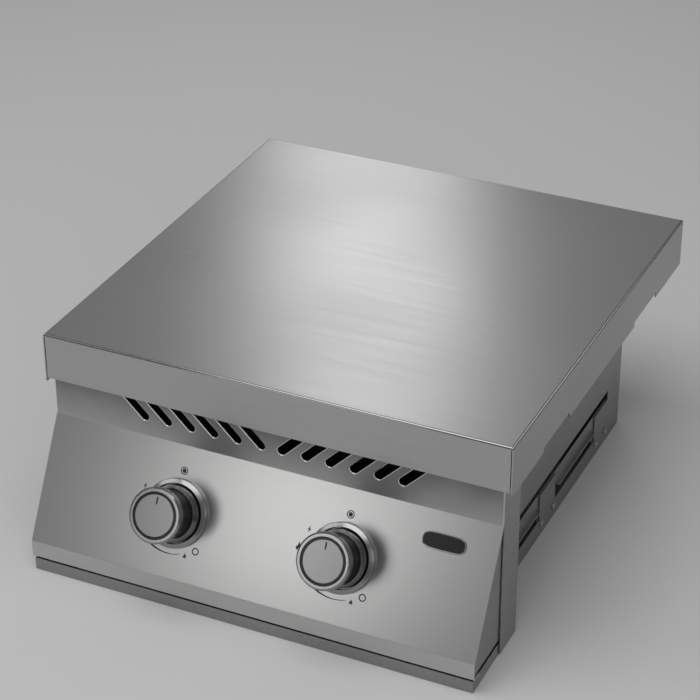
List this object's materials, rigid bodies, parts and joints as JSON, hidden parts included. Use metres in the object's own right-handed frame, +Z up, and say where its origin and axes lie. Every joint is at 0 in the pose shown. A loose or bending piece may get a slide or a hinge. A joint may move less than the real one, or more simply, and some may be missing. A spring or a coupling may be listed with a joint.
{
  "type": "built in gas side burner",
  "caption": "Drop-in outdoor gas burner with a flat lift-off lid, sunken grates, vented front and ringed knobs on a sloping control panel.",
  "frame": {"origin": "centre of the burner box's underside, on the base pan's lower face", "axes": "+Z up, -Y to the front where the control panel is, +X to the right of a person facing the panel"},
  "size_m": [0.47, 0.5495, 0.228],
  "materials": {
    "brushed_stainless": "brushed",
    "satin_stainless": "satin",
    "pressed_steel": "matte",
    "plated_steel": "satin",
    "cast_iron": "matte",
    "brass": "satin",
    "cast_aluminium": "matte",
    "aluminium_tube": "satin",
    "black_plastic": "satin",
    "grey_plastic": "satin",
    "smoked_ring": "gloss",
    "circuit_board": "satin",
    "foam_seal": "matte",
    "lead_jacket": "satin",
    "ceramic": "matte"
  },
  "bodies": {
    "burner_base": {"badge_plate": "satin_stainless", "base_pan": "pressed_steel", "battery_holder": "black_plastic", "bezel_left": "satin_stainless", "bezel_right": "satin_stainless", "burner_box": "pressed_steel", "burner_cup_left": "cast_aluminium", "burner_cup_right": "cast_aluminium", "burner_jet_left": "brass", "burner_jet_right": "brass", "burner_screws": "plated_steel", "control_housing": "pressed_steel", "control_panel": "brushed_stainless", "deck_pan": "satin_stainless", "electrode_left": "ceramic", "electrode_right": "ceramic", "flame_ring_left": "brass", "flame_ring_right": "brass", "flange_seal": "foam_seal", "gas_inlet": "brass", "gas_tube_left": "aluminium_tube", "gas_tube_right": "aluminium_tube", "housing_floor": "pressed_steel", "ignition_lead_left": "lead_jacket", "ignition_lead_right": "lead_jacket", "inlet_elbow": "brass", "light_board_left": "circuit_board", "light_board_right": "circuit_board", "manifold": "plated_steel", "manifold_brackets": "pressed_steel", "manifold_clamp_left": "plated_steel", "manifold_clamp_right": "plated_steel", "manifold_plug": "brass", "pan_screws": "plated_steel", "panel_cheek_left": "pressed_steel", "panel_cheek_right": "pressed_steel", "spark_module": "black_plastic", "tube_nuts": "brass", "valve_body_left": "brass", "valve_body_right": "brass", "valve_screws": "plated_steel"},
    "lid": {"lid_shell": "brushed_stainless"},
    "grate_left": {"grate_left": "cast_iron"},
    "cap_left": {"burner_cap_left": "cast_iron"},
    "valve_plug_left": {"valve_plug_left": "brass"},
    "knob_left": {"valve_stem_left": "plated_steel", "knob_core_left": "black_plastic", "knob_shell_left": "satin_stainless", "knob_light_ring_left": "smoked_ring", "knob_face_left": "brushed_stainless", "knob_skirt_left": "grey_plastic"},
    "grate_right": {"grate_right": "cast_iron"},
    "cap_right": {"burner_cap_right": "cast_iron"},
    "valve_plug_right": {"valve_plug_right": "brass"},
    "knob_right": {"valve_stem_right": "plated_steel", "knob_core_right": "black_plastic", "knob_shell_right": "satin_stainless", "knob_light_ring_right": "smoked_ring", "knob_face_right": "brushed_stainless", "knob_skirt_right": "grey_plastic"}
  },
  "joints": [
    {"name": "lid_lift", "type": "slide", "parent": "burner_base", "child": "lid", "axis": [0, 0, 1], "range_m": [0, 0.25]},
    {"name": "grate_left_lift", "type": "slide", "parent": "burner_base", "child": "grate_left", "axis": [0, 0, 1], "range_m": [0, 0.015]},
    {"name": "cap_left_lift", "type": "slide", "parent": "burner_base", "child": "cap_left", "axis": [0, 0, 1], "range_m": [0, 0.006]},
    {"name": "knob_left_turn", "type": "hinge", "parent": "burner_base", "child": "valve_plug_left", "pos_m": [-0.085, -0.26313, 0.08672], "axis": [0, -0.8746, 0.4848], "range_deg": [0, 205]},
    {"name": "knob_left_push", "type": "slide", "parent": "valve_plug_left", "child": "knob_left", "axis": [0, 0.8746, -0.4848], "range_m": [0, 0.0035], "stiffness_N_per_m": 2000, "springref_m": -0.004},
    {"name": "grate_right_lift", "type": "slide", "parent": "burner_base", "child": "grate_right", "axis": [0, 0, 1], "range_m": [0, 0.015]},
    {"name": "cap_right_lift", "type": "slide", "parent": "burner_base", "child": "cap_right", "axis": [0, 0, 1], "range_m": [0, 0.006]},
    {"name": "knob_right_turn", "type": "hinge", "parent": "burner_base", "child": "valve_plug_right", "pos_m": [0.085, -0.26313, 0.08672], "axis": [0, -0.8746, 0.4848], "range_deg": [0, 205]},
    {"name": "knob_right_push", "type": "slide", "parent": "valve_plug_right", "child": "knob_right", "axis": [0, 0.8746, -0.4848], "range_m": [0, 0.0035], "stiffness_N_per_m": 2000, "springref_m": -0.004}
  ]
}
